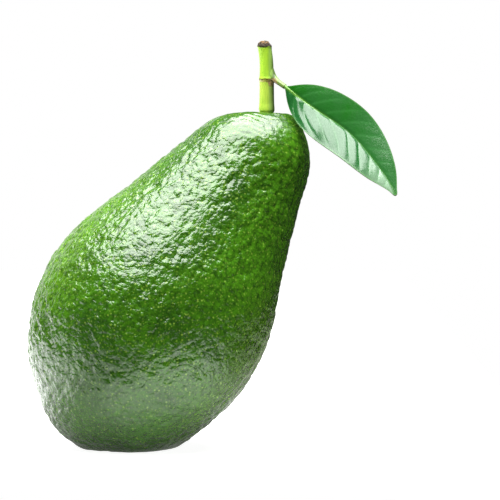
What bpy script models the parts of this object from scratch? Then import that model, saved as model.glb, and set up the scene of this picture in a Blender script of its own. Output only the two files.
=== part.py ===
# A whole avocado as picked. The fruit lies on a small flat spot, a cut stem stands in
# the pit at its neck end, and one leaf hangs from the stem on a short stalk.
# Metres, +Z up, seen from -Y. The origin is the middle of the resting spot.

import bmesh
import bpy
from math import cos, exp, log, pi, radians, sin, sqrt, tau
from mathutils import Euler, Matrix, Vector, noise

MM = 0.001

# The fruit, from its blossom end to its neck end
FRUIT_LENGTH = 121.6 * MM
FRUIT_LEAN_RIGHT = radians(33.5)
FRUIT_LEAN_BACK = radians(8.0)
BLOSSOM_END = Vector((-17.8, -4.5, 2.3)) * MM
FRUIT_GIRTH = (  # share of the length, radius there
    (0.03, 11.8 * MM),
    (0.10, 22.8 * MM),
    (0.20, 31.1 * MM),
    (0.35, 35.9 * MM),
    (0.50, 33.6 * MM),
    (0.65, 26.9 * MM),
    (0.80, 20.8 * MM),
    (0.90, 16.4 * MM),
    (0.97, 8.9 * MM),
)
FRUIT_BEND = (  # share of the length, how far the middle lies off the straight axis
    (0.0, -0.2 * MM),
    (0.15, 0.0),
    (0.50, 0.0),
    (0.85, -0.7 * MM),
    (1.0, 1.2 * MM),
)
DEPTH_SWELL = 0.05  # the body is this share deeper than wide, the neck shallower
FRUIT_DETAIL = 5  # 5,120 triangles before the neck end is cut finer

# The skin's broad lumps; the finer pebbling is left to the finish
LUMPS = ((9.0 * MM, 0.34 * MM), (5.5 * MM, 0.16 * MM))  # size, height
LUMP_SEED = Vector((3.7, 1.9, 8.2))

# The neck end is flattened round the stem, facing up and a little back
CREST_HEIGHT = 103.0 * MM
CREST_SOFTNESS = 0.8 * MM

# The underside is pressed flatter on the side that the fruit leans to
PRESS_DEPTH = 2.2 * MM
PRESS_BAND = 11.0 * MM
PRESS_FROM = -12.0 * MM
PRESS_TO = 3.0 * MM
REST_FINE_HEIGHT = 3.5 * MM  # the skin is cut finer below this height

# The stem, upright in its pit
STEM_X = 42.3 * MM
STEM_Y = 12.0 * MM
PIT_DEPTH = 1.2 * MM
PIT_RADIUS = 4.2 * MM
PIT_FINE_RADIUS = 9.0 * MM  # the skin is cut finer this far from the stem
STEM_TOP = 124.7 * MM
STEM_FOOT_GAP = 0.5 * MM  # the round foot's tip stands this far above the pit's floor
STEM_RADII = (  # height above the foot, radius there; the swelling is the leaf's ring
    (0.0, 1.0 * MM),
    (0.5 * MM, 1.9 * MM),
    (1.4 * MM, 2.4 * MM),
    (3.5 * MM, 2.27 * MM),
    (10.3 * MM, 2.2 * MM),
    (11.1 * MM, 2.42 * MM),
    (11.9 * MM, 2.2 * MM),
    (16.5 * MM, 2.06 * MM),
    (20.6 * MM, 2.1 * MM),
    (21.4 * MM, 2.28 * MM),
)
STEM_SWAY = (  # height above the foot, how far right the stem's middle lies
    (0.0, 0.0),
    (12.0 * MM, 0.0),
    (17.0 * MM, -0.15 * MM),
    (23.0 * MM, -0.8 * MM),
)
CUT_END_ROUGHNESS = 0.22 * MM
CUT_END_GRAIN = 1.1 * MM
STEM_SIDES = 20
STEM_RING_STEP = 0.8 * MM

# The leaf stalk grows down out of the stem's right side, from its foot in the stem
STALK_PATH = (  # right, forward and up from the stem's foot
    Vector((0.0, 0.0, 17.0)) * MM,
    Vector((0.7, 0.2, 13.9)) * MM,
    Vector((2.1, 1.2, 11.5)) * MM,
    Vector((3.9, 2.8, 9.9)) * MM,
    Vector((5.6, 4.2, 8.7)) * MM,
)
STALK_RADII = (  # share of the path, radius there
    (0.0, 1.5 * MM),
    (0.3, 1.45 * MM),
    (0.5, 1.05 * MM),
    (0.7, 0.78 * MM),
    (1.0, 0.75 * MM),
)
STALK_SIDES = 12
STALK_RINGS = 14

# The leaf hangs to the right and forward, folded along its midrib
LEAF_BASE_GAP = 0.66 * MM  # keeps the slanting base clear of the stalk's end
LEAF_MIDRIB = (  # right, forward and up from the leaf's base
    Vector((0.0, 0.0, 0.0)) * MM,
    Vector((7.6, 2.1, -5.8)) * MM,
    Vector((19.4, 6.6, -14.1)) * MM,
    Vector((28.3, 12.4, -24.8)) * MM,
    Vector((32.8, 16.0, -32.4)) * MM,
)
LEAF_HALF_WIDTH_UPPER = 8.6 * MM
LEAF_HALF_WIDTH_LOWER = 9.5 * MM
LEAF_FULLEST = 0.8  # under 1 sets the widest place nearer the base
LEAF_SLIMMING = 1.1  # over 1 draws both ends out slimmer
LEAF_FOLD_UPPER = radians(5.0)  # the upper half leans back by this
LEAF_FOLD_LOWER = radians(33.0)  # the lower half comes forward by this
LEAF_CROWN = 0.5 * MM  # each half bows out by this
BLADE_THICKNESS = 0.66 * MM
RIB_DEPTH = 0.8 * MM
RIB_WIDTH = 0.8 * MM
LEAF_END_HALF_WIDTH = 0.75 * MM
LEAF_STEPS_ALONG = 30
LEAF_STEPS_ACROSS = 7  # on each side of the midrib


def smooth_value(stations, at):
    """A smooth curve through (place, value) stations, level at both ends."""
    places = [station[0] for station in stations]
    values = [station[1] for station in stations]
    last = len(stations) - 1
    if at <= places[0]:
        return values[0]
    if at >= places[last]:
        return values[last]

    def slope(i):
        if i in (0, last):
            return 0.0
        return (values[i + 1] - values[i - 1]) / (places[i + 1] - places[i - 1])

    i = max(k for k in range(last) if places[k] <= at)
    span = places[i + 1] - places[i]
    t = (at - places[i]) / span
    rise = t * t * (3 - 2 * t)
    start = t * (1 - t) ** 2 * span
    end = t * t * (t - 1) * span
    return (
        values[i] * (1 - rise)
        + values[i + 1] * rise
        + slope(i) * start
        + slope(i + 1) * end
    )


def smooth_path(points, share):
    """A point at a share of the way along a smooth curve through points."""
    last = len(points) - 1
    place = share * last
    i = min(int(place), last - 1)
    t = place - i

    def slope(k):
        if k == 0:
            return (points[1] - points[0]) * 1.5 - (points[2] - points[0]) * 0.25
        if k == last:
            return (points[k] - points[k - 1]) * 1.5 - (points[k] - points[k - 2]) * 0.25
        return (points[k + 1] - points[k - 1]) * 0.5

    rise = t * t * (3 - 2 * t)
    return (
        points[i] * (1 - rise)
        + points[i + 1] * rise
        + slope(i) * (t * (1 - t) ** 2)
        + slope(i + 1) * (t * t * (t - 1))
    )


def path_direction(points, share):
    """The direction of the smooth curve at a share of the way along it."""
    ahead = smooth_path(points, min(share + 0.01, 1.0))
    behind = smooth_path(points, max(share - 0.01, 0.0))
    return (ahead - behind).normalized()


def step_up(at, low, high):
    """0 below low, 1 above high, smooth between."""
    t = min(max((at - low) / (high - low), 0.0), 1.0)
    return t * t * (3 - 2 * t)


def new_material(name, colour, roughness):
    material = bpy.data.materials.new(name)
    material.use_nodes = True
    shader = material.node_tree.nodes["Principled BSDF"]
    shader.inputs["Base Color"].default_value = (*colour, 1.0)
    shader.inputs["Roughness"].default_value = roughness
    shader.inputs["Metallic"].default_value = 0.0
    material.diffuse_color = (*colour, 1.0)
    return material


def add_object(name, mesh_data, material, location, rotation=(0.0, 0.0, 0.0)):
    mesh = bpy.data.meshes.new(name)
    bmesh.ops.recalc_face_normals(mesh_data, faces=mesh_data.faces)
    mesh_data.to_mesh(mesh)
    mesh_data.free()
    mesh.shade_smooth()
    mesh.materials.append(material)
    piece = bpy.data.objects.new(name, mesh)
    piece.location = location
    piece.rotation_euler = rotation
    bpy.context.collection.objects.link(piece)
    return piece


def girth_fullness(share):
    """The radius over that of a round-ended ball, which stays even up to both tips."""
    stations = [(s, radius / (2 * sqrt(s * (1 - s)))) for s, radius in FRUIT_GIRTH]
    return smooth_value(stations, share)


def fruit_skin(direction):
    """The skin's point, in the fruit's own frame, for a direction on a unit ball."""
    share = (1 + direction.z) / 2
    fullness = girth_fullness(share)
    depth = 1 + DEPTH_SWELL * (1 - 2 * share)
    skin = Vector((direction.x * fullness, direction.y * fullness * depth, share * FRUIT_LENGTH))
    lumps = sum(noise.noise(skin / size + LUMP_SEED) * height for size, height in LUMPS)
    outward = Vector((direction.x, direction.y, direction.z * 0.6))
    skin.x += smooth_value(FRUIT_BEND, share)
    return skin + outward.normalized() * lumps


def crest_flattened(point):
    """The neck end eases into a level top, which leans back with the fruit."""
    up = Vector((0.0, sin(FRUIT_LEAN_BACK), cos(FRUIT_LEAN_BACK)))
    height = point.dot(up)
    below = (CREST_HEIGHT - height) / CREST_SOFTNESS
    if below > 8:
        return point
    eased = CREST_HEIGHT - CREST_SOFTNESS * log(1 + exp(below))
    return point + up * (eased - height)


def pit_sunk(point):
    """The skin dips where the stem stands."""
    away = sqrt((point.x - STEM_X) ** 2 + (point.y - STEM_Y) ** 2)
    top = step_up(point.z, CREST_HEIGHT - 20 * MM, CREST_HEIGHT - 6 * MM)
    return point - Vector((0, 0, PIT_DEPTH * top * exp(-((away / PIT_RADIUS) ** 2))))


def underside_pressed(point):
    """The skin that would pass through the resting surface lies flat on it."""
    if point.z < PRESS_BAND:
        side = step_up(point.x, PRESS_FROM, PRESS_TO)
        point = point - Vector((0, 0, PRESS_DEPTH * side * (1 - point.z / PRESS_BAND) ** 2))
    point.z = max(point.z, 0.0)
    return point


def fruit_place():
    turn = Euler((-FRUIT_LEAN_BACK, FRUIT_LEAN_RIGHT, 0.0))
    return Matrix.Translation(BLOSSOM_END) @ turn.to_matrix().to_4x4()


def skin_in_place(direction):
    return pit_sunk(crest_flattened(fruit_place() @ fruit_skin(direction)))


def pit_floor():
    """The height of the skin right under the stem."""
    back_turn = fruit_place().inverted()
    aim = back_turn @ Vector((STEM_X, STEM_Y, CREST_HEIGHT)) - Vector((0, 0, FRUIT_LENGTH / 2))
    aim = aim / (FRUIT_LENGTH / 2)
    for _ in range(40):
        skin = skin_in_place(aim.normalized())
        miss = Vector((STEM_X - skin.x, STEM_Y - skin.y, 0.0))
        aim = aim.normalized() + back_turn.to_3x3() @ miss * 20.0
    return skin.z


def cut_finer(ball, is_near):
    """Halves the edges of the ball's faces whose place on the skin passes a test."""
    near = {
        edge
        for face in ball.faces
        if is_near(skin_in_place(face.calc_center_median().normalized()))
        for edge in face.edges
    }
    bmesh.ops.subdivide_edges(ball, edges=list(near), cuts=1, use_grid_fill=True)
    bmesh.ops.triangulate(ball, faces=[face for face in ball.faces if len(face.verts) > 3])


def build_fruit(material):
    ball = bmesh.new()
    bmesh.ops.create_icosphere(ball, subdivisions=FRUIT_DETAIL, radius=1.0)
    foot = Vector((STEM_X, STEM_Y, CREST_HEIGHT))
    cut_finer(ball, lambda skin: (skin - foot).length < PIT_FINE_RADIUS)
    cut_finer(ball, lambda skin: (skin - foot).length < PIT_FINE_RADIUS * 0.6)
    cut_finer(ball, lambda skin: skin.z < REST_FINE_HEIGHT)
    own_frame = fruit_place().inverted()
    for vertex in ball.verts:
        placed = skin_in_place(vertex.co.normalized())
        vertex.co = own_frame @ underside_pressed(placed)
    return add_object(
        "fruit", ball, material, BLOSSOM_END, (-FRUIT_LEAN_BACK, FRUIT_LEAN_RIGHT, 0.0)
    )


def join_rings(tube, rings):
    """Skins a row of rings and closes both ends."""
    sides = len(rings[0])
    for lower, upper in zip(rings, rings[1:]):
        for i in range(sides):
            k = (i + 1) % sides
            tube.faces.new((lower[i], lower[k], upper[k], upper[i]))
    tube.faces.new(reversed(rings[0]))
    tube.faces.new(rings[-1])


def build_stem(material, foot_height):
    tube = bmesh.new()
    length = STEM_TOP - foot_height
    shaft = STEM_RADII[-1][0]
    dome = length - shaft
    heights = [station[0] for station in STEM_RADII]
    extra = [h for h in (k * STEM_RING_STEP for k in range(1, 60)) if h < shaft]
    clear = STEM_RING_STEP * 0.4
    heights += [h for h in extra if min(abs(h - known) for known in heights) > clear]
    rings = []
    for height in sorted(heights):
        sway = smooth_value(STEM_SWAY, height)
        radius = smooth_value(STEM_RADII, height)
        rings.append(stem_ring(tube, height, radius, sway, 0.0))
    for share in (0.45, 0.75, 0.93):
        height = shaft + dome * share
        radius = STEM_RADII[-1][1] * sqrt(1 - share * share)
        rings.append(stem_ring(tube, height, radius, smooth_value(STEM_SWAY, height), share))
    join_rings(tube, rings)
    return add_object("stem", tube, material, (STEM_X, STEM_Y, foot_height))


def stem_ring(tube, height, radius, sway, broken):
    """One ring of the stem; broken is how far up the rough cut end it lies."""
    ring = []
    for i in range(STEM_SIDES):
        turn = tau * i / STEM_SIDES
        place = Vector((sway + radius * cos(turn), radius * sin(turn), height))
        if broken:
            place.z += CUT_END_ROUGHNESS * noise.noise(place / CUT_END_GRAIN)
        ring.append(tube.verts.new(place))
    return ring


def forward_is_minus_y(point):
    return Vector((point.x, -point.y, point.z))


def add_stalk(stem, material):
    """The leaf stalk is grown onto the stem, so a union makes them one body."""
    path = [forward_is_minus_y(point) for point in STALK_PATH]
    tube = bmesh.new()
    rings = []
    for k in range(STALK_RINGS):
        share = k / (STALK_RINGS - 1)
        centre = smooth_path(path, share)
        turn = path_direction(path, share).to_track_quat("Z", "Y")
        radius = smooth_value(STALK_RADII, share)
        ring = []
        for i in range(STALK_SIDES):
            angle = tau * (i + 0.5) / STALK_SIDES
            ring.append(tube.verts.new(centre + turn @ Vector((cos(angle), sin(angle), 0)) * radius))
        rings.append(ring)
    join_rings(tube, rings)
    stalk = add_object("leaf_stalk_guide", tube, material, stem.location)
    stalk.hide_render = True
    stalk.display_type = "WIRE"
    union = stem.modifiers.new("grown on", "BOOLEAN")
    union.operation = "UNION"
    union.object = stalk
    union.solver = "EXACT"


def leaf_section(midrib, share):
    """The midrib's point, the two sides' directions and the upper face's normal."""
    centre = smooth_path(midrib, share)
    along = path_direction(midrib, share)
    back = Vector((0, 1, 0))
    across = Vector((-along.z, 0, along.x)).normalized()
    upper = across * cos(LEAF_FOLD_UPPER) + back * sin(LEAF_FOLD_UPPER)
    lower = -across * cos(LEAF_FOLD_LOWER) - back * sin(LEAF_FOLD_LOWER)
    facing = (upper - lower).cross(along).normalized()
    if facing.y > 0:
        facing.negate()
    return centre, upper, lower, facing


def build_leaf(material, base):
    midrib = [forward_is_minus_y(point) for point in LEAF_MIDRIB]
    blade = bmesh.new()
    fronts = []
    backs = []
    for k in range(LEAF_STEPS_ALONG + 1):
        share = k / LEAF_STEPS_ALONG
        centre, upper, lower, facing = leaf_section(midrib, share)
        fullness = max(sin(pi * share**LEAF_FULLEST), 0.0) ** LEAF_SLIMMING
        front_row = []
        back_row = []
        for i in range(-LEAF_STEPS_ACROSS, LEAF_STEPS_ACROSS + 1):
            out = abs(i) / LEAF_STEPS_ACROSS
            side = upper if i > 0 else lower
            widest = LEAF_HALF_WIDTH_UPPER if i > 0 else LEAF_HALF_WIDTH_LOWER
            half_width = sqrt((widest * fullness) ** 2 + LEAF_END_HALF_WIDTH**2)
            crown = LEAF_CROWN * fullness * 4 * out * (1 - out)
            place = centre + side * (half_width * out) + facing * crown
            rib = RIB_DEPTH * (1 - 0.6 * share) * exp(-((half_width * out / RIB_WIDTH) ** 2))
            front_row.append(blade.verts.new(place + facing * BLADE_THICKNESS / 2))
            back_row.append(blade.verts.new(place - facing * (BLADE_THICKNESS / 2 + rib)))
        fronts.append(front_row)
        backs.append(back_row)
    for k in range(LEAF_STEPS_ALONG):
        for i in range(2 * LEAF_STEPS_ACROSS):
            for rows in (fronts, backs):
                near, far = rows[k], rows[k + 1]
                blade.faces.new((near[i], near[i + 1], far[i + 1]))
                blade.faces.new((near[i], far[i + 1], far[i]))
    close_leaf_edge(blade, fronts, backs)
    return add_object("leaf", blade, material, base)


def close_leaf_edge(blade, fronts, backs):
    """A strip of faces round the margin joins the two sides of the blade."""
    def outline(rows):
        return (
            rows[0]
            + [row[-1] for row in rows[1:-1]]
            + rows[-1][::-1]
            + [row[0] for row in rows[-2:0:-1]]
        )

    front = outline(fronts)
    back = outline(backs)
    for i in range(len(front)):
        k = (i + 1) % len(front)
        blade.faces.new((front[i], front[k], back[k]))
        blade.faces.new((front[i], back[k], back[i]))


def build_avocado():
    for leftover in list(bpy.data.objects):
        bpy.data.objects.remove(leftover, do_unlink=True)
    skin = new_material("avocado skin", (0.050, 0.150, 0.012), 0.35)
    stem_bark = new_material("green stem", (0.270, 0.560, 0.050), 0.45)
    leaf_blade = new_material("glossy leaf", (0.035, 0.200, 0.035), 0.35)

    build_fruit(skin)
    foot_height = pit_floor() + STEM_FOOT_GAP
    stem = build_stem(stem_bark, foot_height)
    add_stalk(stem, stem_bark)

    stalk_path = [forward_is_minus_y(point) for point in STALK_PATH]
    stalk_end = stem.location + stalk_path[-1]
    leaf_base = stalk_end + path_direction(stalk_path, 1.0) * LEAF_BASE_GAP
    build_leaf(leaf_blade, leaf_base)


build_avocado()
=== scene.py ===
import math

import bpy
from mathutils import Euler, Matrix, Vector, noise


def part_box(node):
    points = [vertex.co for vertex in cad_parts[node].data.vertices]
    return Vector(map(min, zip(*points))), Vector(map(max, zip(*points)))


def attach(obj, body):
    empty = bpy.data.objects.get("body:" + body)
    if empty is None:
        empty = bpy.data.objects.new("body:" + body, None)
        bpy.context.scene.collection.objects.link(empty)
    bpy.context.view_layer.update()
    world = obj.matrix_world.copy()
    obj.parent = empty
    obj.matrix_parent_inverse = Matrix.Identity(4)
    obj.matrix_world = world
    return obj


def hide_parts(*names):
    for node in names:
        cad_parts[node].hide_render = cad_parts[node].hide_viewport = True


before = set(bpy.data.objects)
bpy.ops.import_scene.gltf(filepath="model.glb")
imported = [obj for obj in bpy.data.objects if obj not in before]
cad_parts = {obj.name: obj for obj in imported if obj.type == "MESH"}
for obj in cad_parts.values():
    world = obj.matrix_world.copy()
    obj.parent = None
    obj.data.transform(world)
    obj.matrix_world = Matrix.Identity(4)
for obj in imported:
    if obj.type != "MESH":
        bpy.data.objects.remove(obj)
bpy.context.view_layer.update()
mm = 0.001
mergeDistance = 0.01 * mm
waxRefraction = 1.45  # plant wax: skin, bark and leaf alike
print("frame loaded")


# Small tools for every piece

def linearColour(hexCode):  # sRGB hex to the linear values that the nodes take
    parts = [int(hexCode[i:i + 2], 16) / 255 for i in (1, 3, 5)]
    return [p / 12.92 if p <= 0.04045 else ((p + 0.055) / 1.055) ** 2.4 for p in parts] + [1.0]


def addNode(tree, kind, settings=None, **inputs):  # inputs: a value, or a socket to link
    node = tree.nodes.new(kind)
    for name, value in (settings or {}).items():
        setattr(node, name, value)
    for name, value in inputs.items():
        key = int(name[1:]) if name[0] == "n" and name[1:].isdigit() else name.replace("_", " ")
        if isinstance(value, bpy.types.NodeSocket):
            tree.links.new(value, node.inputs[key])
        else:
            node.inputs[key].default_value = value
    return node


def startMaterial(name):  # an empty node tree with its output
    material = bpy.data.materials.new(name)
    material.use_nodes = True
    tree = material.node_tree
    tree.nodes.clear()
    return material, tree, tree.nodes.new("ShaderNodeOutputMaterial")


inColour = {"data_type": "RGBA"}
smooth = {"interpolation_type": "SMOOTHSTEP"}
times, plus, less = ({"operation": name} for name in ("MULTIPLY", "ADD", "SUBTRACT"))
unsigned = {"operation": "ABSOLUTE"}
lengthOf = {"operation": "LENGTH"}
inOwnSpace = {"vector_type": "TEXTURE"}  # as seen from the given place, turn and size
pureWhite = [1.0] * 4


def selectOnly(piece):
    bpy.ops.object.select_all(action="DESELECT")
    piece.select_set(True)
    bpy.context.view_layer.objects.active = piece


def applyModifiers(piece):
    selectOnly(piece)
    for modifier in list(piece.modifiers):
        bpy.ops.object.modifier_apply(modifier=modifier.name)


def editAll(piece, *steps):  # edit mode's operators, on the whole mesh
    selectOnly(piece)
    bpy.ops.object.mode_set(mode="EDIT")
    bpy.ops.mesh.select_all(action="SELECT")
    for step in steps:
        step()
    bpy.ops.object.mode_set(mode="OBJECT")


def mergedCopy(node, name):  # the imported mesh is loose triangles, so its doubles are merged
    piece = bpy.data.objects.new(name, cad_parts[node].data.copy())
    bpy.context.scene.collection.objects.link(piece)
    piece.data.materials.clear()
    editAll(
        piece,
        lambda: bpy.ops.mesh.remove_doubles(threshold=mergeDistance),
        bpy.ops.mesh.tris_convert_to_quads,
    )
    return piece


def settle(piece):  # place, turn and size go into the mesh, so the object sits at the origin
    selectOnly(piece)
    bpy.ops.object.transform_apply(location=True, rotation=True, scale=True)


def smoothStep(value, low, high):
    share = min(max((value - low) / (high - low), 0.0), 1.0)
    return share * share * (3 - 2 * share)


def weigh(piece, name, weightAt):  # a vertex group from a rule on the point's place
    group = piece.vertex_groups.new(name=name)
    for vertex in piece.data.vertices:
        group.add([vertex.index], weightAt(vertex.co), "REPLACE")


# Camera, at the photograph's height and distance

camera = {
    "lookAt": (37.147 * mm, -1.5 * mm, 60.639 * mm),
    "distance": 850 * mm,
    "looksDown": math.radians(3),
    "widthSeen": 152.15 * mm,  # at the point looked at
    "sensorWidth": 36.0,  # millimetres
    "clipStart": 10 * mm,
}


def makeCamera():
    back = Vector((0, -math.cos(camera["looksDown"]), math.sin(camera["looksDown"])))
    place = Vector(camera["lookAt"]) + back * camera["distance"]
    turn = (math.radians(90) - camera["looksDown"], 0, 0)
    bpy.ops.object.camera_add(location=place, rotation=turn)
    made = bpy.context.object
    made.name = "studioCamera"
    made.data.sensor_width = camera["sensorWidth"]
    made.data.lens = camera["sensorWidth"] * camera["distance"] / camera["widthSeen"]
    made.data.clip_start = camera["clipStart"]
    bpy.context.scene.camera = made


# Studio: a pale card under a big softbox, cut open and dark towards the camera

studio = {
    "floorLeft": -700 * mm, "floorRight": 130 * mm,
    "floorFront": -150 * mm, "floorBack": 900 * mm, "floorDrop": 0.1 * mm,
    # painted light and shade on the card: it is painted whitest on the left and in a pool
    # under the fruit's front, and painted darkest far in front and on the right, where the
    # painted shadow takes a greenish painted reflection, as its reflections in the skin show;
    # each band runs from where its tone starts to where it is full
    "floorColour": "#9C9C9A", "floorFrontShade": "#606060", "floorRightShadeAndReflection": "#50583E",
    "rightShadeBand": (36 * mm, 78 * mm), "leftLightBand": (-38 * mm, -66 * mm),
    "frontShadeBand": (-35 * mm, -115 * mm),
    "lightPoolMiddle": (30 * mm, -42 * mm, 0), "lightPoolSize": (68 * mm, 35 * mm, 10 * mm),
    "lightPoolFade": (1.0, 0.5),  # shares of its size
    "notchMiddle": (0, -262 * mm), "notchRadius": 170 * mm, "notchDepth": 10 * mm,
    "notchSides": 96,
    "floorGlowForCamera": 0.96, "floorGlow": 0.4,
    "backdropForCamera": 1.0,
    "roomGlow": 0.04,
    "lightsAim": (0.01, 0.0, 0.05),
    # name, middle, width and height in metres, power in watts
    "lights": (
        ("overheadSoftbox", (-0.015, -0.02, 0.62), (0.65, 0.80), 24.5),
        ("leftBackCard", (-0.34, 0.62, 0.20), (0.60, 0.50), 1.1),
    ),
}


def makeStudio():
    world = bpy.data.worlds.new("studioWorld")
    bpy.context.scene.world = world
    world.use_nodes = True
    tree = world.node_tree
    tree.nodes.clear()
    rays = tree.nodes.new("ShaderNodeLightPath")
    white = [studio["backdropForCamera"]] * 3 + [1.0]
    glow = [studio["roomGlow"]] * 3 + [1.0]
    seen = addNode(
        tree, "ShaderNodeMix", inColour, n0=rays.outputs["Is Camera Ray"], n6=glow, n7=white
    ).outputs[2]
    ground = addNode(tree, "ShaderNodeBackground", Color=seen, Strength=1.0)
    addNode(tree, "ShaderNodeOutputWorld", Surface=ground.outputs[0])

    bpy.ops.mesh.primitive_plane_add(size=1)
    floor = bpy.context.object
    floor.name = "paleFloor"
    floor.scale = (
        studio["floorRight"] - studio["floorLeft"], studio["floorBack"] - studio["floorFront"], 1
    )
    floor.location = (
        (studio["floorRight"] + studio["floorLeft"]) / 2,
        (studio["floorBack"] + studio["floorFront"]) / 2,
        -studio["floorDrop"],
    )
    settle(floor)
    bpy.ops.mesh.primitive_cylinder_add(
        vertices=studio["notchSides"], radius=studio["notchRadius"], depth=studio["notchDepth"],
        location=(*studio["notchMiddle"], 0),
    )
    notch = bpy.context.object
    cut = floor.modifiers.new("open towards the camera", "BOOLEAN")
    cut.object = notch
    cut.operation = "DIFFERENCE"
    applyModifiers(floor)
    bpy.data.objects.remove(notch)
    floor.data.materials.append(mattPaper())

    for name, place, sides, power in studio["lights"]:
        aim = Vector(studio["lightsAim"]) - Vector(place)
        bpy.ops.object.light_add(
            type="AREA", location=place, rotation=aim.to_track_quat("-Z", "Y").to_euler()
        )
        light = bpy.context.object
        light.name = name
        light.data.shape = "RECTANGLE"
        light.data.size, light.data.size_y = sides
        light.data.energy = power
        light.visible_camera = False
    bpy.context.scene.view_settings.view_transform = "Standard"


def mattPaper():
    # White card, pressed and uncoated: no gloss, with painted light and shade in bands and a pool,
    # and a glow of its own; the camera sees it burnt out to white
    material, tree, out = startMaterial("mattWhiteCard")
    place = addNode(tree, "ShaderNodeTexCoord").outputs["Object"]
    axes = addNode(tree, "ShaderNodeSeparateXYZ", Vector=place)
    colour = linearColour(studio["floorColour"])
    # bands of painted shade, darker on the right with a greenish painted reflection and far in
    # front, and of painted light, white on the left
    for axis, band, tone in (
        ("X", "rightShadeBand", linearColour(studio["floorRightShadeAndReflection"])),
        ("X", "leftLightBand", pureWhite),
        ("Y", "frontShadeBand", linearColour(studio["floorFrontShade"])),
    ):
        start, end = studio[band]
        share = addNode(
            tree, "ShaderNodeMapRange", smooth,
            Value=axes.outputs[axis], From_Min=start, From_Max=end,
        ).outputs[0]
        colour = addNode(
            tree, "ShaderNodeMix", inColour, n0=share, n6=colour, n7=tone
        ).outputs[2]
    # a painted pool of light, white, under the fruit's front
    fromLightPool = addNode(
        tree, "ShaderNodeMapping", inOwnSpace,
        Vector=place, Location=studio["lightPoolMiddle"], Scale=studio["lightPoolSize"],
    ).outputs[0]
    fromLightPool = addNode(tree, "ShaderNodeVectorMath", lengthOf, n0=fromLightPool).outputs["Value"]
    start, end = studio["lightPoolFade"]
    white = addNode(
        tree, "ShaderNodeMapRange", smooth, Value=fromLightPool, From_Min=start, From_Max=end
    ).outputs[0]
    colour = addNode(
        tree, "ShaderNodeMix", inColour, n0=white, n6=colour, n7=pureWhite
    ).outputs[2]
    rays = tree.nodes.new("ShaderNodeLightPath")
    glow = addNode(
        tree, "ShaderNodeMapRange", Value=rays.outputs["Is Camera Ray"],
        To_Min=studio["floorGlow"], To_Max=studio["floorGlowForCamera"],
    ).outputs[0]
    shader = addNode(
        tree, "ShaderNodeBsdfPrincipled", Base_Color=colour, Roughness=1.0,
        Specular_IOR_Level=0.0, Emission_Color=pureWhite, Emission_Strength=glow,
    )
    tree.links.new(shader.outputs[0], out.inputs["Surface"])
    return material


# Fruit: one pebbled skin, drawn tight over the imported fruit

fruit = {
    "leanRight": math.radians(33.5), "leanBack": math.radians(8),
    "roughSize": (92 * mm, 92 * mm, 150 * mm),
    "facesLevel": 7,  # 98,304 quads, about 0.5 mm each
    "formLevel": 2, "evening": 0.5, "eveningTimes": 12,
    # size and depth of the skin's relief
    "pebbleSize": 2.0 * mm, "pebbleSteepness": 0.41,
    "foldSize": 3.8 * mm, "foldSteepness": 0.185,
    "wrinkleSize": 2.4 * mm, "wrinkleDepth": 0.06 * mm,
    "wrinkleHalfWidth": 0.10,  # in the noise's own range
    "fineSize": 1.1 * mm, "fineDepth": 0.17 * mm,
    "unevenSize": 14 * mm, "unevenShare": 0.3,
    "leftFlank": (16 * mm, 30 * mm), "reliefElsewhere": 0.76,  # roughest on the left flank
    # the skin is smooth around the stem
    "neckTop": (42.2 * mm, 10.8 * mm, 101.5 * mm), "smoothWithin": 16 * mm,
    "pebbledBeyond": 25 * mm, "neckRelief": 0.35,
    "ringSpacing": 1.9 * mm, "ringDepth": 0.035 * mm, "ringSway": 14.0,
    "ringsFrom": 8 * mm, "ringsTo": 27 * mm,
    "smoothBelow": 0.4 * mm, "pebbledAbove": 3.0 * mm,
    "deepGreen": "#254C08", "leafGreen": "#34620A", "litSideGreen": "#4E7817",
    "neckLitGreen": "#457D12", "shadeGreen": "#3A5A0E", "lenticel": "#84A43C", "creaseShade": "#1A3A07",
    "lowShadeGreen": "#1E3A0A",
    # the noises under the colours, and the part of their range that is used
    "patchSize": 13 * mm, "patchRange": (0.35, 0.65),
    "mottleSize": 1.4 * mm, "creaseShadeRange": (0.58, 0.34), "creaseShadeShare": 0.7,
    # painted light on the lit left side and on the neck right of the axis; painted shade on the
    # shady side
    # start and end to the right of the fruit's axis or up along it, and the most of each
    "litSide": (-14 * mm, -38 * mm, 0.8), "neckLitSide": (2 * mm, 14 * mm),
    "neckLitEnd": (-12 * mm, 16 * mm, 0.7), "shadySide": (20 * mm, 34 * mm, 0.7),
    # painted shade towards the low end
    "lowShadeEnd": (-18 * mm, -40 * mm, 0.45),
    # spacing, radius as a share of it, and the most paleness
    "pores": ((1.15 * mm, 0.38, 0.55), (0.75 * mm, 0.40, 0.35)),
    "poreCore": 0.35, "poresLeftOut": 0.1,
    "shineRange": (0.3, 0.7), "roughness": (0.27, 0.19),
}


def fruitTurn():
    return Euler((-fruit["leanBack"], fruit["leanRight"], 0))


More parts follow.
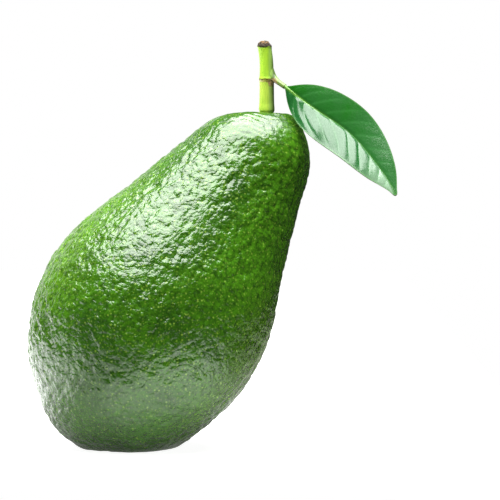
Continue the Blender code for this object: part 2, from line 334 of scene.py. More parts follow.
def makeFruit():
    low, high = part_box("fruit")
    middle = (low + high) / 2
    drawnTo = mergedCopy("fruit", "skinForm")
    rounder = drawnTo.modifiers.new("rounder", "SUBSURF")
    rounder.levels = rounder.render_levels = fruit["formLevel"]
    applyModifiers(drawnTo)

    bpy.ops.mesh.primitive_cube_add(size=1, location=middle, rotation=fruitTurn())
    skin = bpy.context.object
    skin.name = "pebbledSkin"
    skin.scale = fruit["roughSize"]
    settle(skin)
    rounder = skin.modifiers.new("rounder", "SUBSURF")
    rounder.levels = rounder.render_levels = fruit["facesLevel"]
    for step in ("drawn on", "drawn tight"):
        wrap = skin.modifiers.new(step, "SHRINKWRAP")
        wrap.target = drawnTo
        wrap.wrap_method = "NEAREST_SURFACEPOINT"
        if step == "drawn on":
            even = skin.modifiers.new("evened", "SMOOTH")
            even.factor = fruit["evening"]
            even.iterations = fruit["eveningTimes"]
    applyModifiers(skin)
    bpy.data.objects.remove(drawnTo)

    toLeft = fruitTurn().to_matrix() @ Vector((-1, 0, 0))
    weigh(skin, "pebbled", lambda place: reliefAt(place, (place - middle).dot(toLeft)))
    addDomes(skin, "folds", fruit["foldSize"], fruit["foldSteepness"])
    addDomes(skin, "pebbles", fruit["pebbleSize"], fruit["pebbleSteepness"])
    applyModifiers(skin)
    skin.vertex_groups.clear()
    bpy.ops.object.shade_smooth()
    skin.data.materials.append(waxySkin(middle))
    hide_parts("fruit")
    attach(skin, "root")
    print("fruit made")


def reliefAt(place, leftOfAxis):  # less around the stem, none on the flat spot
    fromStem = (place - Vector(fruit["neckTop"])).length
    onBody = smoothStep(fromStem, fruit["smoothWithin"], fruit["pebbledBeyond"])
    share = fruit["neckRelief"] + (1 - fruit["neckRelief"]) * onBody
    share *= smoothStep(place.z, fruit["smoothBelow"], fruit["pebbledAbove"])
    elsewhere = fruit["reliefElsewhere"]
    share *= elsewhere + (1 - elsewhere) * smoothStep(leftOfAxis, *fruit["leftFlank"])
    uneven = fruit["unevenShare"] * (0.5 + 0.5 * noise.noise(place / fruit["unevenSize"]))
    return min(max(share * (1 - uneven), 0.0), 1.0)


def addDomes(skin, name, across, steepness):  # round cells with creases cut between them
    cells = bpy.data.textures.new(name, "VORONOI")
    cells.noise_scale = across
    cells.distance_metric = "DISTANCE_SQUARED"
    relief = skin.modifiers.new(name, "DISPLACE")
    relief.texture = cells
    relief.texture_coords = "LOCAL"
    relief.mid_level = 0.0  # cuts inwards alone, so the fruit keeps its size
    relief.strength = -steepness * across
    relief.vertex_group = "pebbled"


def waxySkin(middle):
    # Avocado rind, grown: a thin wax coat over fine pebbles, so highlights break up
    look = fruit
    material, tree, out = startMaterial("waxyPebbledRind")
    place = addNode(tree, "ShaderNodeTexCoord").outputs["Object"]
    own = addNode(  # x to the right of the fruit's axis, z along it
        tree, "ShaderNodeMapping", inOwnSpace,
        Vector=place, Location=middle, Rotation=fruitTurn(),
    ).outputs[0]
    axes = addNode(tree, "ShaderNodeSeparateXYZ", Vector=own)
    toRight, upAxis = axes.outputs["X"], axes.outputs["Z"]

    # soft patches of two greens, with painted light, yellower on the lit left side and brighter
    # on the neck right of the axis, and painted shade, darker past it
    patches = addNode(
        tree, "ShaderNodeTexNoise",
        Vector=place, Scale=1 / look["patchSize"], Detail=3.0, Roughness=0.55,
    ).outputs[0]
    start, end = look["patchRange"]
    patchShare = addNode(
        tree, "ShaderNodeMapRange", smooth, Value=patches, From_Min=start, From_Max=end
    ).outputs[0]
    colour = addNode(
        tree, "ShaderNodeMix", inColour, n0=patchShare,
        n6=linearColour(look["deepGreen"]), n7=linearColour(look["leafGreen"]),
    ).outputs[2]
    start, end = look["neckLitSide"]
    litBesideAxis = addNode(
        tree, "ShaderNodeMapRange", smooth, Value=toRight, From_Min=start, From_Max=end
    ).outputs[0]
    for away, band, limit, tone in (
        (toRight, "litSide", 1.0, "litSideGreen"),
        (upAxis, "neckLitEnd", litBesideAxis, "neckLitGreen"),
        (toRight, "shadySide", 1.0, "shadeGreen"),
    ):
        start, end, most = look[band]
        share = addNode(
            tree, "ShaderNodeMapRange", smooth,
            Value=away, From_Min=start, From_Max=end, To_Max=most,
        ).outputs[0]
        share = addNode(tree, "ShaderNodeMath", times, n0=share, n1=limit).outputs[0]
        colour = addNode(
            tree, "ShaderNodeMix", inColour, n0=share, n6=colour, n7=linearColour(look[tone])
        ).outputs[2]
    # painted shade: a darker green laid in the creases of a fine mottle
    mottle = addNode(
        tree, "ShaderNodeTexNoise",
        Vector=place, Scale=1 / look["mottleSize"], Detail=3.0, Roughness=0.65,
    ).outputs[0]
    start, end = look["creaseShadeRange"]
    dark = addNode(
        tree, "ShaderNodeMapRange", smooth,
        Value=mottle, From_Min=start, From_Max=end, To_Max=look["creaseShadeShare"],
    ).outputs[0]
    colour = addNode(
        tree, "ShaderNodeMix", inColour, n0=dark, n6=colour, n7=linearColour(look["creaseShade"])
    ).outputs[2]

    # lenticels, the pale breathing pores: about a millimetre apart, and finer ones between
    for spacing, radius, most in look["pores"]:
        pores = addNode(tree, "ShaderNodeTexVoronoi", Vector=place, Scale=1 / spacing)
        dots = addNode(
            tree, "ShaderNodeMapRange", smooth,
            Value=pores.outputs["Distance"], From_Min=radius, From_Max=radius * look["poreCore"],
        ).outputs[0]
        chance = addNode(tree, "ShaderNodeSeparateColor", Color=pores.outputs["Color"]).outputs[0]
        paleness = addNode(
            tree, "ShaderNodeMapRange", smooth,
            Value=chance, From_Min=look["poresLeftOut"], To_Max=most,
        ).outputs[0]
        dots = addNode(tree, "ShaderNodeMath", times, n0=dots, n1=paleness).outputs[0]
        colour = addNode(
            tree, "ShaderNodeMix", inColour, n0=dots, n6=colour, n7=linearColour(look["lenticel"])
        ).outputs[2]

    # painted shade: the low end is painted a darker green, its pores fainter
    start, end, most = look["lowShadeEnd"]
    lowShade = addNode(
        tree, "ShaderNodeMapRange", smooth,
        Value=upAxis, From_Min=start, From_Max=end, To_Max=most,
    ).outputs[0]
    colour = addNode(
        tree, "ShaderNodeMix", inColour, n0=lowShade, n6=colour, n7=linearColour(look["lowShadeGreen"])
    ).outputs[2]

    # fine relief in millimetres: winding wrinkles where a noise crosses its middle,
    # and small domes between them
    winding = addNode(
        tree, "ShaderNodeTexNoise", Vector=place, Scale=1 / look["wrinkleSize"], Detail=2.0
    ).outputs[0]
    offMiddle = addNode(tree, "ShaderNodeMath", less, n0=winding, n1=0.5).outputs[0]
    offMiddle = addNode(tree, "ShaderNodeMath", unsigned, n0=offMiddle).outputs[0]
    wrinkles = addNode(
        tree, "ShaderNodeMapRange", smooth,
        Value=offMiddle, From_Max=look["wrinkleHalfWidth"], To_Max=look["wrinkleDepth"] / mm,
    ).outputs[0]
    cells = addNode(
        tree, "ShaderNodeTexVoronoi", Vector=place, Scale=1 / look["fineSize"]
    ).outputs["Distance"]
    domes = addNode(tree, "ShaderNodeMath", times, n0=cells, n1=cells).outputs[0]
    domes = addNode(
        tree, "ShaderNodeMath", times, n0=domes, n1=look["fineDepth"] / mm
    ).outputs[0]
    height = addNode(tree, "ShaderNodeMath", less, n0=wrinkles, n1=domes).outputs[0]
    fromStem = addNode(
        tree, "ShaderNodeVectorMath", {"operation": "DISTANCE"}, n0=place, n1=look["neckTop"]
    ).outputs["Value"]
    relief = addNode(
        tree, "ShaderNodeMapRange", smooth,
        Value=fromStem, From_Min=look["smoothWithin"], From_Max=look["pebbledBeyond"],
        To_Min=look["neckRelief"],
    ).outputs[0]
    height = addNode(tree, "ShaderNodeMath", times, n0=height, n1=relief).outputs[0]
    # faint rings round the stem, as the neck grew, wavering with the wide patches
    turns = addNode(
        tree, "ShaderNodeMath", times, n0=fromStem, n1=math.tau / look["ringSpacing"]
    ).outputs[0]
    sway = addNode(tree, "ShaderNodeMath", times, n0=patches, n1=look["ringSway"]).outputs[0]
    turns = addNode(tree, "ShaderNodeMath", plus, n0=turns, n1=sway).outputs[0]
    rings = addNode(tree, "ShaderNodeMath", {"operation": "SINE"}, n0=turns).outputs[0]
    fading = addNode(
        tree, "ShaderNodeMapRange", smooth,
        Value=fromStem, From_Min=look["ringsTo"], From_Max=look["ringsFrom"],
        To_Max=look["ringDepth"] / mm,
    ).outputs[0]
    rings = addNode(tree, "ShaderNodeMath", times, n0=rings, n1=fading).outputs[0]
    height = addNode(tree, "ShaderNodeMath", plus, n0=height, n1=rings).outputs[0]
    bump = addNode(tree, "ShaderNodeBump", Height=height, Strength=1.0, Distance=mm).outputs[0]
    start, end = look["shineRange"]
    inCreases, onTop = look["roughness"]
    roughness = addNode(
        tree, "ShaderNodeMapRange", smooth,
        Value=mottle, From_Min=start, From_Max=end, To_Min=inCreases, To_Max=onTop,
    ).outputs[0]
    shader = addNode(
        tree, "ShaderNodeBsdfPrincipled",
        Base_Color=colour, Roughness=roughness, IOR=waxRefraction, Normal=bump,
    )
    tree.links.new(shader.outputs[0], out.inputs["Surface"])
    return material


# Stem: young green wood with a leaf ring, a scar under it and a corky cut end

stem = {
    "middle": 42.2 * mm, "ringHeight": 112.6 * mm, "cutHeight": 122.9 * mm,
    "scarMiddle": (44.0 * mm, 9.6 * mm, 111.6 * mm), "scarSize": (1.9 * mm, 2.4 * mm, 1.5 * mm),
    "stalkFrom": 44.6 * mm, "stalkFade": 1.4 * mm, "ringFade": 1.0 * mm,
    "barkGreen": "#A3D033", "barkYellow": "#B5D24A", "barkShade": "#86B22E",
    # painted shade on the side away from the light: a grey-green, then the far side's dark
    "halfShadeGreen": "#84A85A", "farSide": "#34461C",
    "ringBrown": "#5A3810", "ringTan": "#BFA063", "scar": "#A89066", "scarDark": "#7A6038",
    "cutPale": "#6A4E26", "cutDark": "#261B06", "stalkGreen": "#587222", "stalkSpeck": "#5A4014",
    "woodGrain": 0.7 * mm, "grainDepth": 0.04 * mm, "grainBump": 0.6,
    "grainShrink": 0.12,  # along the stem, so its streaks are drawn out
    "grainRange": (0.40, 0.70), "grainShare": 0.5,
    "speckSize": 0.5 * mm, "freckleRange": (0.60, 0.68), "freckleShare": 0.7,
    "waverSize": 1.5 * mm, "waver": 1.0 * mm,
    # the far side's painted shade: start and end to the right of the stem's middle, and the most
    "farShadeTones": (
        (0.2 * mm, 1.3 * mm, 0.7, "halfShadeGreen"), (1.2 * mm, 2.3 * mm, 0.9, "farSide"),
    ),
    # the ring's lines: drop below it, half widths where each is lost and full, and the most
    "ringLines": (
        (0.45 * mm, 0.45 * mm, 0.15 * mm, 0.6, "ringTan"),
        (0.0, 0.27 * mm, 0.08 * mm, 0.9, "ringBrown"),
    ),
    # the scar's tones: where each is lost and full, in shares of its size
    "scarTones": ((1.65, 1.30, "scarDark"), (1.55, 1.05, "scar")),
    "scarRagged": 1.3, "scarShare": 0.8, "lineLostBy": 1.4 * mm,
    # the cut end: start and end above its height, of the roughness, rim and inside
    "corkyFrom": (-0.3 * mm, 0.6 * mm), "rimFrom": (-0.55 * mm, -0.15 * mm),
    "insideFrom": (0.5 * mm, 1.2 * mm), "corkRange": (0.38, 0.58),
    "corkGrain": 0.7 * mm, "corkDepth": 0.6 * mm, "corkLevel": 0.95,
    "roundingLoss": 0.06 * mm, "roughness": (0.40, 0.85),  # bark and cork
}


def makeStem():
    wood = mergedCopy("stem", "youngWoodStem")
    finer = wood.modifiers.new("finer", "SUBSURF")
    finer.subdivision_type = "SIMPLE"
    finer.levels = finer.render_levels = 1
    rounder = wood.modifiers.new("rounder", "SUBSURF")
    rounder.levels = rounder.render_levels = 2
    applyModifiers(wood)
    start, end = (stem["cutHeight"] + above for above in stem["corkyFrom"])
    weigh(wood, "cork", lambda place: smoothStep(place.z, start, end))
    cork = bpy.data.textures.new("corkGrain", "CLOUDS")
    cork.noise_scale = stem["corkGrain"]
    rough = wood.modifiers.new("corky end", "DISPLACE")
    rough.texture = cork
    rough.strength = stem["corkDepth"]
    rough.mid_level = stem["corkLevel"]
    rough.vertex_group = "cork"
    fuller = wood.modifiers.new("fuller", "DISPLACE")  # what the rounding took away
    fuller.strength = stem["roundingLoss"]
    fuller.mid_level = 0.0
    applyModifiers(wood)
    wood.vertex_groups.clear()
    bpy.ops.object.shade_smooth()
    wood.data.materials.append(youngWood())
    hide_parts("stem")
    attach(wood, "root")
    print("stem made")


def youngWood():
    # Young avocado wood, grown: smooth satin green bark, brown and corky where it broke
    look = stem
    material, tree, out = startMaterial("youngGreenBark")
    place = addNode(tree, "ShaderNodeTexCoord").outputs["Object"]
    axes = addNode(tree, "ShaderNodeSeparateXYZ", Vector=place)
    right, height = axes.outputs["X"], axes.outputs["Z"]
    along = addNode(
        tree, "ShaderNodeMapping", Vector=place, Scale=(1, 1, look["grainShrink"])
    ).outputs[0]
    streaks = addNode(
        tree, "ShaderNodeTexNoise", Vector=along, Scale=1 / look["woodGrain"], Detail=3.0
    ).outputs[0]
    specks = addNode(
        tree, "ShaderNodeTexNoise", Vector=place, Scale=1 / look["speckSize"], Detail=2.0
    ).outputs[0]
    waver = addNode(
        tree, "ShaderNodeTexNoise", Vector=place, Scale=1 / look["waverSize"], Detail=2.0
    ).outputs[0]
    swing = addNode(tree, "ShaderNodeMath", less, n0=waver, n1=0.5).outputs[0]
    swing = addNode(tree, "ShaderNodeMath", times, n0=swing, n1=look["waver"]).outputs[0]

    # greener above the leaf ring, yellower below it, and painted shade on the side away from the
    # light
    ring, fade = look["ringHeight"], look["ringFade"]
    aboveRing = addNode(
        tree, "ShaderNodeMapRange", smooth,
        Value=height, From_Min=ring - fade, From_Max=ring + fade,
    ).outputs[0]
    colour = addNode(
        tree, "ShaderNodeMix", inColour, n0=aboveRing,
        n6=linearColour(look["barkYellow"]), n7=linearColour(look["barkGreen"]),
    ).outputs[2]
    start, end = look["grainRange"]
    grain = addNode(
        tree, "ShaderNodeMapRange", smooth,
        Value=streaks, From_Min=start, From_Max=end, To_Max=look["grainShare"],
    ).outputs[0]
    colour = addNode(
        tree, "ShaderNodeMix", inColour, n0=grain, n6=colour, n7=linearColour(look["barkShade"])
    ).outputs[2]
    start = look["stalkFrom"]
    onStalk = addNode(
        tree, "ShaderNodeMapRange", smooth,
        Value=right, From_Min=start, From_Max=start + look["stalkFade"],
    ).outputs[0]
    onStem = addNode(tree, "ShaderNodeMath", less, n0=1.0, n1=onStalk).outputs[0]
    # painted shade on the side away from the light, kept off the stalk
    for start, end, most, tone in look["farShadeTones"]:
        farSide = addNode(
            tree, "ShaderNodeMapRange", smooth,
            Value=right, From_Min=look["middle"] + start, From_Max=look["middle"] + end,
            To_Max=most,
        ).outputs[0]
        farSide = addNode(tree, "ShaderNodeMath", times, n0=farSide, n1=onStem).outputs[0]
        colour = addNode(
            tree, "ShaderNodeMix", inColour, n0=farSide, n6=colour, n7=linearColour(look[tone])
        ).outputs[2]
    colour = addNode(
        tree, "ShaderNodeMix", inColour, n0=onStalk, n6=colour, n7=linearColour(look["stalkGreen"])
    ).outputs[2]
    start, end = look["freckleRange"]
    freckles = addNode(
        tree, "ShaderNodeMapRange", smooth,
        Value=specks, From_Min=start, From_Max=end, To_Max=look["freckleShare"],
    ).outputs[0]
    freckles = addNode(tree, "ShaderNodeMath", times, n0=freckles, n1=onStalk).outputs[0]
    colour = addNode(
        tree, "ShaderNodeMix", inColour,
        n0=freckles, n6=colour, n7=linearColour(look["stalkSpeck"]),
    ).outputs[2]

    # the ring's thin brown line with a tan lip under it, both wavering and lost at the scar
    scarX = look["scarMiddle"][0]
    byScar = addNode(
        tree, "ShaderNodeMapRange", smooth,
        Value=right, From_Min=scarX, From_Max=scarX - look["lineLostBy"],
    ).outputs[0]
    offRing = addNode(tree, "ShaderNodeMath", less, n0=height, n1=ring).outputs[0]
    offRing = addNode(tree, "ShaderNodeMath", less, n0=offRing, n1=swing).outputs[0]
    for drop, wide, thin, most, tone in look["ringLines"]:
        off = addNode(tree, "ShaderNodeMath", plus, n0=offRing, n1=drop).outputs[0]
        off = addNode(tree, "ShaderNodeMath", unsigned, n0=off).outputs[0]
        near = addNode(
            tree, "ShaderNodeMapRange", smooth,
            Value=off, From_Min=wide, From_Max=thin, To_Max=most,
        ).outputs[0]
        near = addNode(tree, "ShaderNodeMath", times, n0=near, n1=byScar).outputs[0]
        colour = addNode(
            tree, "ShaderNodeMix", inColour, n0=near, n6=colour, n7=linearColour(look[tone])
        ).outputs[2]

    # the scar under the ring, ragged, with a dark edge
    inScar = addNode(
        tree, "ShaderNodeMapping", inOwnSpace,
        Vector=place, Location=look["scarMiddle"], Scale=look["scarSize"],
    ).outputs[0]
    fromScar = addNode(tree, "ShaderNodeVectorMath", lengthOf, n0=inScar).outputs["Value"]
    ragged = addNode(tree, "ShaderNodeMath", times, n0=specks, n1=look["scarRagged"]).outputs[0]
    fromScar = addNode(tree, "ShaderNodeMath", plus, n0=fromScar, n1=ragged).outputs[0]
    for outer, inner, tone in look["scarTones"]:
        near = addNode(
            tree, "ShaderNodeMapRange", smooth,
            Value=fromScar, From_Min=outer, From_Max=inner, To_Max=look["scarShare"],
        ).outputs[0]
        colour = addNode(
            tree, "ShaderNodeMix", inColour, n0=near, n6=colour, n7=linearColour(look[tone])
        ).outputs[2]

    # the cut end: a dark rim and paler, mottled cork inside it
    corkAt = addNode(tree, "ShaderNodeMath", plus, n0=height, n1=swing).outputs[0]
    start, end = (look["cutHeight"] + above for above in look["rimFrom"])
    onCut = addNode(
        tree, "ShaderNodeMapRange", smooth, Value=corkAt, From_Min=start, From_Max=end
    ).outputs[0]
    start, end = (look["cutHeight"] + above for above in look["insideFrom"])
    inside = addNode(
        tree, "ShaderNodeMapRange", smooth, Value=corkAt, From_Min=start, From_Max=end
    ).outputs[0]
    start, end = look["corkRange"]
    mottled = addNode(
        tree, "ShaderNodeMapRange", smooth, Value=specks, From_Min=start, From_Max=end
    ).outputs[0]
    pale = addNode(tree, "ShaderNodeMath", times, n0=inside, n1=mottled).outputs[0]
    cork = addNode(
        tree, "ShaderNodeMix", inColour, n0=pale,
        n6=linearColour(look["cutDark"]), n7=linearColour(look["cutPale"]),
    ).outputs[2]
    colour = addNode(tree, "ShaderNodeMix", inColour, n0=onCut, n6=colour, n7=cork).outputs[2]
    bump = addNode(
        tree, "ShaderNodeBump",
        Height=streaks, Strength=look["grainBump"], Distance=look["grainDepth"],
    ).outputs[0]
    ofBark, ofCork = look["roughness"]
    roughness = addNode(
        tree, "ShaderNodeMapRange", smooth, Value=onCut, To_Min=ofBark, To_Max=ofCork
    ).outputs[0]
    shader = addNode(
        tree, "ShaderNodeBsdfPrincipled",
        Base_Color=colour, Roughness=roughness, IOR=waxRefraction, Normal=bump,
    )
    tree.links.new(shader.outputs[0], out.inputs["Surface"])
    return material


# Leaf: one waxy blade, folded along its pale midrib, its side veins a little sunk,
# with a swollen foot on the leaf stalk

leaf = {
    "base": (48.36 * mm, 7.43 * mm, 109.96 * mm),
    # the midrib's points, millimetres to the right, back and up from the leaf's base
    "midrib": ((0, 0, 0), (7.6, -2.1, -5.8), (19.4, -6.6, -14.1), (28.3, -12.4, -24.8),
               (32.8, -16.0, -32.4)),
    "halfWidthUpper": 8.6 * mm, "halfWidthLower": 9.5 * mm, "endHalfWidth": 0.75 * mm,
    "roundedFrom": 0.97, "roundedTo": 0.98,
    "fullest": 0.8,  # under 1 the widest place is nearer the base
    "slimming": 1.1,
    "foldUpper": math.radians(3), "sourceFold": math.radians(33),
    # the lower half's fold along the blade, which steers what its wax mirrors
    "foldLower": ((0.0, math.radians(-8)), (0.36, math.radians(30)), (0.70, math.radians(33)),
                  (1.0, math.radians(23))),
    "crownUpper": 0.20 * mm, "crownLower": 0.45 * mm,
    "thickness": 0.55 * mm, "smoothAngle": math.radians(50),
    # the midrib stands out below and thins towards the tip, and is a little sunk above
    "ribDepth": 0.7 * mm, "ribWidth": 0.7 * mm, "ribThinning": 0.6, "ribSunk": 0.12 * mm,
    "ribLine": 0.32 * mm, "ribFading": (0.1, 0.5), "ribFaded": 0.85,
    # the leaf's swollen foot closes over the stalk's end and runs out into the midrib:
    # millimetres to the right, back and up from the leaf's base, and its radii
    "foot": ((-1.0, 0.8, 0.7), (0.2, -0.2, -0.1), (3.6, -0.9, -2.8)),
    "footRadius": 0.86 * mm, "footEndRadius": 0.16 * mm, "footTaper": 0.7, "footBlunt": 1.7,
    "footSides": 24, "footRings": 32,
    "stepsAlong": 200, "stepsAcross": 84, "measuredIn": 40,
    "veinSpacing": 4.6 * mm, "veinAngle": math.radians(52), "veinCurve": 22.0,
    "veinWaver": 0.5 * mm, "veinWaves": (9, 1.5),  # along and across
    "veinDepth": 0.13 * mm, "veinWidth": 0.50 * mm, "bulge": 0.20 * mm, "upperRelief": 0.08,
    # the veins fade in from the midrib, and from the edge, base and tip in shares of the blade
    "fadeByRib": (0.2 * mm, 1.2 * mm), "fadeByEdge": (0.02, 0.3),
    "fadeByBase": (0.02, 0.1), "fadeByTip": (0.03, 0.15),
    "streakDepth": 0.12 * mm, "streakLength": 9 * mm, "streaksPerVein": 2.7,
    "calmBand": (0.55, 0.85), "calmShare": 0.75,
    "lowerFull": 1.0 * mm, "edgeBand": (0.45 * mm, 0.1 * mm),  # from the midrib, and the edge
    "blade": "#125C06", "bladeFar": "#225C24", "lowerBladeShade": "#175320", "vein": "#3F8040",
    # a painted highlight on the lower half's far end
    "paintedHighlight": "#86A286", "highlightFrom": 0.62, "highlightFull": 0.88, "highlightShare": 0.8,
    "rib": "#74A848", "edge": "#5C8C4C", "underside": "#5E8C54", "undersideVein": "#93B27A",
    "patchSize": 9 * mm, "farRange": (0.5, 1.1), "tipFrom": 0.94,
    "veinShare": 0.22, "edgeShare": 0.45,
    "fineSize": 0.7 * mm, "fineDepth": 0.035 * mm, "shineRange": (0.3, 0.7),
    "roughness": (0.20, 0.27), "undersideMatt": 0.3,
}


def leafMidrib(share):  # a smooth curve through the midrib's points
    points = [Vector(point) * mm for point in leaf["midrib"]]
    last = len(points) - 1
    i = min(int(share * last), last - 1)
    t = share * last - i

    def slope(k):
        if k == 0:
            return (points[1] - points[0]) * 1.5 - (points[2] - points[0]) * 0.25
        if k == last:
            return (points[k] - points[k - 1]) * 1.5 - (points[k] - points[k - 2]) * 0.25
        return (points[k + 1] - points[k - 1]) * 0.5

    rise = t * t * (3 - 2 * t)
    return (
        points[i] * (1 - rise) + points[i + 1] * rise
        + slope(i) * (t * (1 - t) ** 2) + slope(i + 1) * (t * t * (t - 1))
    )


def lowerFoldAt(share):
    fold = leaf["foldLower"][0][1]
    for (start, before), (end, after) in zip(leaf["foldLower"], leaf["foldLower"][1:]):
        fold += (after - before) * smoothStep(share, start, end)
    return fold


def leafSection(share):  # the midrib's point there and the directions of both halves
    along = (leafMidrib(min(share + 0.01, 1)) - leafMidrib(max(share - 0.01, 0))).normalized()
    across = Vector((-along.z, 0, along.x)).normalized()
    back = Vector((0, 1, 0))
    lowerFold = lowerFoldAt(share)
    upper = across * math.cos(leaf["foldUpper"]) + back * math.sin(leaf["foldUpper"])
    lower = -across * math.cos(lowerFold) - back * math.sin(lowerFold)
    return leafMidrib(share) + Vector(leaf["base"]), along, upper, lower


def bendBlade(blade):  # bends the flat grid into the leaf, and marks its parts
    pieces = leaf["measuredIn"]
    length = sum(
        (leafMidrib((k + 1) / pieces) - leafMidrib(k / pieces)).length for k in range(pieces)
    )
    nearVein, nearRib, nearEdge, isLower, reach, ribDrop = [], [], [], [], [], []
    sections = {}
    for vertex in blade.data.vertices:
        share, across = (vertex.co.x + 1) / 2, vertex.co.y
        key = round(share, 6)
        if key not in sections:
            sections[key] = leafSection(share)
        centre, along, upper, lower = sections[key]
        isUpper = across > 0
        side = upper if isUpper else lower
        outward = (side.cross(along) if isUpper else along.cross(side)).normalized()
        if outward.y > 0:
            outward.negate()
        fullness = max(math.sin(math.pi * share ** leaf["fullest"]), 0) ** leaf["slimming"]
        widest = leaf["halfWidthUpper"]
        if not isUpper:  # as wide to the eye as with the source's fold
            widest = leaf["halfWidthLower"] * math.cos(leaf["sourceFold"])
            widest /= math.cos(lowerFoldAt(share))
        halfWidth = math.hypot(widest * fullness, leaf["endHalfWidth"])
        roundEnd = (share - leaf["roundedFrom"]) / (1 - leaf["roundedFrom"])
        roundEnd = min(max(roundEnd, 0), leaf["roundedTo"])
        halfWidth *= math.sqrt(1 - roundEnd ** 2)
        out = abs(across)
        away = halfWidth * out
        crown = (leaf["crownUpper"] if isUpper else leaf["crownLower"]) * 4 * out * (1 - out)

        # side veins run out and forward from the midrib and curve towards the tip
        start = share * length - away / math.tan(leaf["veinAngle"])
        start -= leaf["veinCurve"] * away * away
        lengthways, sideways = leaf["veinWaves"]
        waver = noise.noise(Vector((share * lengthways, across * sideways, 3.1)))
        start += leaf["veinWaver"] * waver
        turn = start / leaf["veinSpacing"] + (0.5 if isUpper else 0.0)
        offVein = abs(turn - round(turn)) * leaf["veinSpacing"]
        fade = smoothStep(away, *leaf["fadeByRib"]) * smoothStep(1 - out, *leaf["fadeByEdge"])
        fade *= smoothStep(share, *leaf["fadeByBase"])
        fade *= smoothStep(1 - share, *leaf["fadeByTip"])
        vein = math.exp(-(offVein / leaf["veinWidth"]) ** 2) * fade
        swell = (0.5 - 0.5 * math.cos(math.tau * turn)) * fade
        rib = math.exp(-(away / leaf["ribWidth"]) ** 2)
        relief = leaf["bulge"] * swell - leaf["veinDepth"] * vein
        streak = noise.noise(
            Vector((turn * leaf["streaksPerVein"], away / leaf["streakLength"], 1.7))
        )
        relief += leaf["streakDepth"] * streak * fade
        relief *= 1 - leaf["calmShare"] * smoothStep(share, *leaf["calmBand"])
        relief = relief * (leaf["upperRelief"] if isUpper else 1.0) + crown * fullness
        relief -= leaf["ribSunk"] * rib * fullness
        vertex.co = centre + side * away + outward * relief
        nearVein.append(vein)
        faded = leaf["ribFaded"] * smoothStep(share, *leaf["ribFading"])
        nearRib.append(math.exp(-(away / leaf["ribLine"]) ** 2) * (1 - faded))
        isLower.append(0.0 if isUpper else smoothStep(away, 0.0, leaf["lowerFull"]))
        inner, outer = leaf["edgeBand"]
        nearEdge.append(smoothStep(away, halfWidth - inner, halfWidth - outer))
        reach.append(share)
        ribDrop.append(outward * -leaf["ribDepth"] * (1 - leaf["ribThinning"] * share) * rib)
    marked = {
        "vein": nearVein, "rib": nearRib, "edge": nearEdge, "lowerHalf": isLower, "reach": reach,
    }
    for name, values in marked.items():
        marks = blade.data.attributes.new(name, "FLOAT", "POINT")
        marks.data.foreach_set("value", values)
    return ribDrop


def makeLeaf():
    bpy.ops.mesh.primitive_grid_add(
        size=2, x_subdivisions=leaf["stepsAlong"], y_subdivisions=leaf["stepsAcross"]
    )
    blade = bpy.context.object
    blade.name = "waxyLeaf"
    ribDrop = bendBlade(blade)
    facing = sum((face.normal.y for face in blade.data.polygons), 0.0)
    if facing > 0:  # the front must face the camera's side
        editAll(blade, bpy.ops.mesh.flip_normals)
    wall = blade.modifiers.new("thickness", "SOLIDIFY")
    wall.thickness = leaf["thickness"]
    wall.offset = 0.0
    applyModifiers(blade)
    isBack = blade.data.attributes.new("underside", "FLOAT", "POINT")
    farSide = list(blade.data.vertices)[len(ribDrop):]  # of the wall, which carries the rib
    for vertex, drop in zip(farSide, ribDrop):
        vertex.co += drop
        isBack.data[vertex.index].value = 1.0
    foot = makeLeafFoot()
    selectOnly(blade)
    foot.select_set(True)
    bpy.ops.object.join()
    bpy.ops.object.shade_smooth_by_angle(angle=leaf["smoothAngle"])
    blade.data.materials.append(waxyBlade())
    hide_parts("leaf")
    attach(blade, "root")
    print("leaf made")


def makeLeafFoot():
    bpy.ops.mesh.primitive_uv_sphere_add(
        segments=leaf["footSides"], ring_count=leaf["footRings"], radius=1
    )
    foot = bpy.context.object
    start, bend, end = (Vector(point) * mm for point in leaf["foot"])
    for vertex in foot.data.vertices:
        t = (vertex.co.z + 1) / 2
        along = ((bend - start) * (1 - t) + (end - bend) * t).normalized()
        side = along.cross(Vector((0, 0, 1))).normalized()
        up = side.cross(along)
        around = Vector((vertex.co.x, vertex.co.y))
        ring = min(1.0, leaf["footBlunt"] * around.length)
        thinner = leaf["footEndRadius"] - leaf["footRadius"]
        radius = leaf["footRadius"] + thinner * t ** leaf["footTaper"]
        if around.length > 0:
            around = around.normalized() * ring * radius
        middle = start * (1 - t) ** 2 + bend * 2 * t * (1 - t) + end * t * t
        vertex.co = Vector(leaf["base"]) + middle + side * around.x + up * around.y
    editAll(foot, lambda: bpy.ops.mesh.normals_make_consistent(inside=False))
    marks = foot.data.attributes.new("rib", "FLOAT", "POINT")
    marks.data.foreach_set("value", [1.0] * len(foot.data.vertices))
    return foot


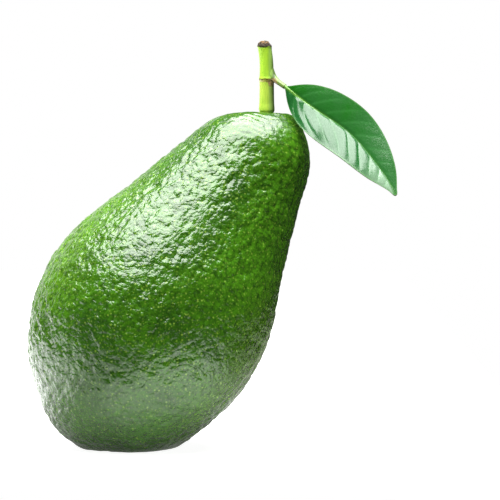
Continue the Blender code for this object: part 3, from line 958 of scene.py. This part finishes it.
def waxyBlade():
    # Avocado leaf, grown: leathery, its upper face waxed and shiny, its underside matt
    look = leaf
    material, tree, out = startMaterial("waxyLeafBlade")
    place = addNode(tree, "ShaderNodeTexCoord").outputs["Object"]
    marks = {
        name: addNode(tree, "ShaderNodeAttribute", {"attribute_name": name}).outputs["Fac"]
        for name in ("vein", "rib", "edge", "lowerHalf", "reach", "underside")
    }
    patches = addNode(
        tree, "ShaderNodeTexNoise", Vector=place, Scale=1 / look["patchSize"], Detail=3.0
    ).outputs[0]
    outward = addNode(tree, "ShaderNodeMath", plus, n0=patches, n1=marks["reach"]).outputs[0]
    start, end = look["farRange"]
    paler = addNode(
        tree, "ShaderNodeMapRange", smooth, Value=outward, From_Min=start, From_Max=end
    ).outputs[0]
    colour = addNode(
        tree, "ShaderNodeMix", inColour, n0=paler,
        n6=linearColour(look["blade"]), n7=linearColour(look["bladeFar"]),
    ).outputs[2]
    # painted shade: the lower half is painted a greyer, darker green than the upper
    colour = addNode(
        tree, "ShaderNodeMix", inColour, n0=marks["lowerHalf"],
        n6=colour, n7=linearColour(look["lowerBladeShade"]),
    ).outputs[2]
    # a painted highlight pales the lower half towards its end, but not the tip itself
    paintedHighlight = addNode(
        tree, "ShaderNodeMapRange", smooth, Value=marks["reach"],
        From_Min=look["highlightFrom"], From_Max=look["highlightFull"], To_Max=look["highlightShare"],
    ).outputs[0]
    offTip = addNode(
        tree, "ShaderNodeMapRange", smooth,
        Value=marks["reach"], From_Min=1.0, From_Max=look["tipFrom"],
    ).outputs[0]
    paintedHighlight = addNode(tree, "ShaderNodeMath", times, n0=paintedHighlight, n1=offTip).outputs[0]
    paintedHighlight = addNode(tree, "ShaderNodeMath", times, n0=paintedHighlight, n1=marks["lowerHalf"]).outputs[0]
    colour = addNode(
        tree, "ShaderNodeMix", inColour, n0=paintedHighlight, n6=colour, n7=linearColour(look["paintedHighlight"])
    ).outputs[2]
    faint = addNode(
        tree, "ShaderNodeMath", times, n0=marks["vein"], n1=look["veinShare"]
    ).outputs[0]
    colour = addNode(
        tree, "ShaderNodeMix", inColour, n0=faint, n6=colour, n7=linearColour(look["vein"])
    ).outputs[2]
    under = addNode(
        tree, "ShaderNodeMix", inColour, n0=marks["vein"],
        n6=linearColour(look["underside"]), n7=linearColour(look["undersideVein"]),
    ).outputs[2]
    colour = addNode(
        tree, "ShaderNodeMix", inColour, n0=marks["underside"], n6=colour, n7=under
    ).outputs[2]
    colour = addNode(
        tree, "ShaderNodeMix", inColour, n0=marks["rib"], n6=colour, n7=linearColour(look["rib"])
    ).outputs[2]
    faint = addNode(
        tree, "ShaderNodeMath", times, n0=marks["edge"], n1=look["edgeShare"]
    ).outputs[0]
    colour = addNode(
        tree, "ShaderNodeMix", inColour, n0=faint, n6=colour, n7=linearColour(look["edge"])
    ).outputs[2]
    fine = addNode(
        tree, "ShaderNodeTexNoise", Vector=place, Scale=1 / look["fineSize"], Detail=3.0
    ).outputs[0]
    bump = addNode(
        tree, "ShaderNodeBump", Height=fine, Strength=1.0, Distance=look["fineDepth"]
    ).outputs[0]
    start, end = look["shineRange"]
    shiniest, dullest = look["roughness"]
    shine = addNode(
        tree, "ShaderNodeMapRange", smooth,
        Value=fine, From_Min=start, From_Max=end, To_Min=shiniest, To_Max=dullest,
    ).outputs[0]
    matt = addNode(
        tree, "ShaderNodeMath", times, n0=marks["underside"], n1=look["undersideMatt"]
    ).outputs[0]
    roughness = addNode(tree, "ShaderNodeMath", plus, n0=shine, n1=matt).outputs[0]
    shader = addNode(
        tree, "ShaderNodeBsdfPrincipled",
        Base_Color=colour, Roughness=roughness, IOR=waxRefraction, Normal=bump,
    )
    tree.links.new(shader.outputs[0], out.inputs["Surface"])
    return material


makeCamera()
makeStudio()
makeFruit()
makeStem()
makeLeaf()
